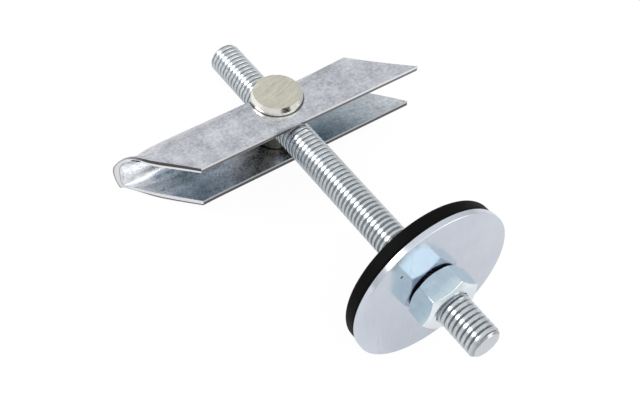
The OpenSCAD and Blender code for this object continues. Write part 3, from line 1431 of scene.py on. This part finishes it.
@dataclass
class HexNut:
    """The hexagon nut."""

    seat: float = 60.1547
    flats: float = 13.0
    face: float = 5.8
    seat_face: float = 6.2
    height: float = 6.3
    turn: float = 44.0
    slope: float = 30.0
    bore: float = 4.05
    mouth: float = 4.45
    corner: float = 0.3
    finish: NutFinish = field(
        default_factory=lambda: NutFinish(
            name="nut_plate",
            light=(0.65, 0.78, 0.835),
            dark=(0.54, 0.66, 0.715),
            gloss=(0.13, 0.22),
            cloud_scale=0.3,
            fleck_scale=2.4,
            fleck_share=0.35,
            line_turn=(0.0, 0.0, 90.0),
            line_share=0.08,
            bump=0.006,
        )
    )

    SIDES = 6
    CORNER_STEPS = 6
    SIDE_STEPS = 12

    def outline(self) -> list[Point2]:
        """Draws the hexagon with slightly rounded corners.

        Returns:
            Its points, the first corner at angle 0.
        """
        centre = (self.flats / 2 - self.corner) / math.cos(math.pi / self.SIDES)
        wide = 360 / self.SIDES
        arcs: list[list[Point2]] = []
        for side in range(self.SIDES):
            middle = math.radians(wide * side)
            x, y = centre * math.cos(middle), centre * math.sin(middle)
            steps = range(self.CORNER_STEPS + 1)
            angles = [middle + math.radians(wide * i / self.CORNER_STEPS - wide / 2) for i in steps]
            arcs.append([(x + self.corner * math.cos(a), y + self.corner * math.sin(a)) for a in angles])
        points: list[Point2] = []
        for arc, following in zip(arcs, [*arcs[1:], arcs[0]]):
            (x, y), (nx, ny) = arc[-1], following[0]
            steps = self.SIDE_STEPS
            points += arc
            points += [(x + (nx - x) * k / steps, y + (ny - y) * k / steps) for k in range(1, steps)]
        return points

    def build(self, frame: BoltFrame, groups: SurfaceGroups) -> None:
        """Builds the nut with chamfered corners and countersunk mouths.

        Args:
            frame: How the bolt lies.
            groups: The shared node groups.
        """
        sink = self.mouth - self.bore
        slope = math.tan(math.radians(self.slope))
        outline = self.outline()
        profile: list[Point2] = []
        points: list[Point3] = []
        for x, y in outline:
            r = math.hypot(x, y)
            low, high = ((r - face) * slope for face in (self.seat_face, self.face))
            profile = [
                (self.bore, sink),
                (self.mouth, 0.0),
                (self.seat_face, 0.0),
                (r, low),
                (r, self.height - high),
                (self.face, self.height),
                (self.mouth, self.height),
                (self.bore, self.height - sink),
            ]
            points += [(x / r * radius, y / r * radius, z) for radius, z in profile]
        faces = MeshKit.ring_faces(len(outline), len(profile), len(profile))
        obj = MeshKit.from_faces("hexagon_nut", points, faces)
        MeshKit.soften(obj, width=0.11, angle=25.0)
        place = along_stud(self.seat) @ Matrix.Rotation(math.radians(-self.turn), 4, "Z")
        MeshKit.settle(obj, frame.matrix @ place, sharp=28.0)
        finish = replace(self.finish, axis=tuple(frame.turn().col[1]))
        MeshKit.hand_over(obj, finish.material(groups, frame), Body.NUT, "hex_nut", Slot.NUT)


@dataclass(frozen=True)
class Lamp:
    """A rectangular lamp that shines on the middle of the table.

    Attributes:
        name: The lamp's name.
        place: Where it hangs, in metres.
        along: Direction that its first side follows.
        size: Its two sides.
        power: Its power in watts.
    """

    name: str
    place: Point3
    along: Point3
    size: Point2
    power: float

    def hang(self) -> None:
        """Makes the lamp and turns it towards the bolt."""
        data = bpy.data.lights.new(self.name, "AREA")
        data.shape = "RECTANGLE"
        data.size, data.size_y = self.size
        data.energy = self.power
        out = Vector(self.place).normalized()
        across = out.cross(Vector(self.along)).normalized()
        axes = Matrix((across.cross(out), across, out)).transposed()
        linked(self.name, data).matrix_world = Matrix.Translation(self.place) @ axes.to_4x4()


@dataclass
class Studio:
    """The floor, the lights, the world and the camera."""

    focal: float = 1022.951
    frame_width: int = 640
    sensor: float = 36.0
    clip: Point2 = (0.01, 10.0)
    eye: Point3 = (97.346, 141.839, 177.738)
    right: Point3 = (-0.816881, 0.574838, 0.047599)
    down: Point3 = (0.421663, 0.651437, -0.630738)
    forward: Point3 = (-0.39358, -0.495167, -0.774535)
    mirrored: float = 0.35
    room: Colour = (0.97, 0.98, 1.0)
    room_levels: Point2 = (0.5, 0.9)
    room_top: float = 0.9
    paper: Colour = (0.75, 0.75, 0.755)
    glow: float = 1.04
    glow_share: float = 0.9
    floor_half: float = 1.5
    floor_weld: float = 1e-6

    WHITE = (1.0, 1.0, 1.0, 1.0)
    # A long lamp behind the bolt, which the stud mirrors, a wide one in front of the washer and one overhead
    LAMPS = (
        Lamp("key", (0.345, -0.35, 0.34), (0.4, 0.87, 0.2), (0.38, 0.2), 1.5),
        Lamp("fill", (-0.40, 0.40, 0.40), (1.0, 1.0, 0.0), (0.5, 0.4), 1.05),
        Lamp("top", (0.05, 0.275, 0.55), (1.0, 0.0, 0.0), (0.4, 0.27), 0.24),
    )

    def build(self, frame: BoltFrame) -> None:
        """Builds the whole studio.

        Args:
            frame: How the bolt lies.
        """
        bpy.context.scene.view_settings.view_transform = "Standard"
        self.build_camera(frame)
        self.build_world()
        self.build_floor()
        for lamp in self.LAMPS:
            lamp.hang()

    def build_camera(self, frame: BoltFrame) -> None:
        """Puts the camera where the photograph was taken from.

        Args:
            frame: How the bolt lies.
        """
        data = bpy.data.cameras.new("camera")
        data.sensor_fit = "HORIZONTAL"
        data.sensor_width = self.sensor
        data.lens = self.focal * data.sensor_width / self.frame_width
        data.clip_start, data.clip_end = self.clip
        camera = linked("camera", data)
        axes = Matrix((Vector(self.right), -Vector(self.down), -Vector(self.forward))).transposed()
        camera.matrix_world = Matrix.Translation(frame.place(self.eye)) @ (frame.turn() @ axes).to_4x4()
        bpy.context.scene.camera = camera

    def backdrop_share(self, writer: TreeWriter) -> Socket:
        """Finds how much of the white backdrop a ray shows: all of it seen straight, a part mirrored.

        Args:
            writer: The writer of the world or the floor.

        Returns:
            The share.
        """
        path = writer.add("ShaderNodeLightPath").outputs
        direct = writer.math("MAXIMUM", path["Is Camera Ray"], path["Is Transmission Ray"])
        return writer.math("MAXIMUM", direct, writer.product(path["Is Glossy Ray"], self.mirrored))

    def build_world(self) -> None:
        """Makes a white background, and a soft room that is brightest overhead."""
        world = bpy.data.worlds.new("studio")
        bpy.context.scene.world = world
        world.use_nodes = True
        w = TreeWriter(world.node_tree)
        _, _, up = w.split(w.add("ShaderNodeTexCoord").outputs["Generated"])
        soft = {"Color": (*self.room, 1.0), "Strength": w.remap(up, 0.0, self.room_top, *self.room_levels)}
        room = w.add("ShaderNodeBackground", soft).outputs[0]
        white = w.add("ShaderNodeBackground", {"Color": self.WHITE}).outputs[0]
        w.add("ShaderNodeOutputWorld", {"Surface": w.mixed(self.backdrop_share(w), room, white)})

    def build_floor(self) -> None:
        """Makes the pale floor, which keeps a faint shadow."""
        material = bpy.data.materials.new("pale_floor")
        material.use_nodes = True
        w = TreeWriter(material.node_tree)
        paper = w.add("ShaderNodeBsdfDiffuse", {"Color": (*self.paper, 1.0)}).outputs[0]
        glow = w.add("ShaderNodeEmission", {"Color": self.WHITE, "Strength": self.glow}).outputs[0]
        share = w.product(self.backdrop_share(w), self.glow_share)
        w.add("ShaderNodeOutputMaterial", {"Surface": w.mixed(share, paper, glow)})
        half = self.floor_half
        corners = [(-half, -half, 0.0), (half, -half, 0.0), (half, half, 0.0), (-half, half, 0.0)]
        floor = MeshKit.from_faces("floor", corners, [(0, 1, 2, 3)], self.floor_weld)
        floor.data.materials.append(material)


def main() -> None:
    """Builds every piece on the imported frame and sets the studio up."""
    logging.basicConfig(level=logging.INFO, format="%(name)s: %(message)s")
    bpy.ops.object.select_all(action="SELECT")
    bpy.ops.object.delete()
    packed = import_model()
    frame = BoltFrame.from_joints(packed["joints"])
    groups = SurfaceGroups()
    for piece in (ThreadedStud(), PivotPin(), ToggleChannel(), WasherStack(), HexNut()):
        piece.build(frame, groups)
    Studio().build(frame)
    bpy.context.view_layer.update()


if __name__ == "__main__":
    main()
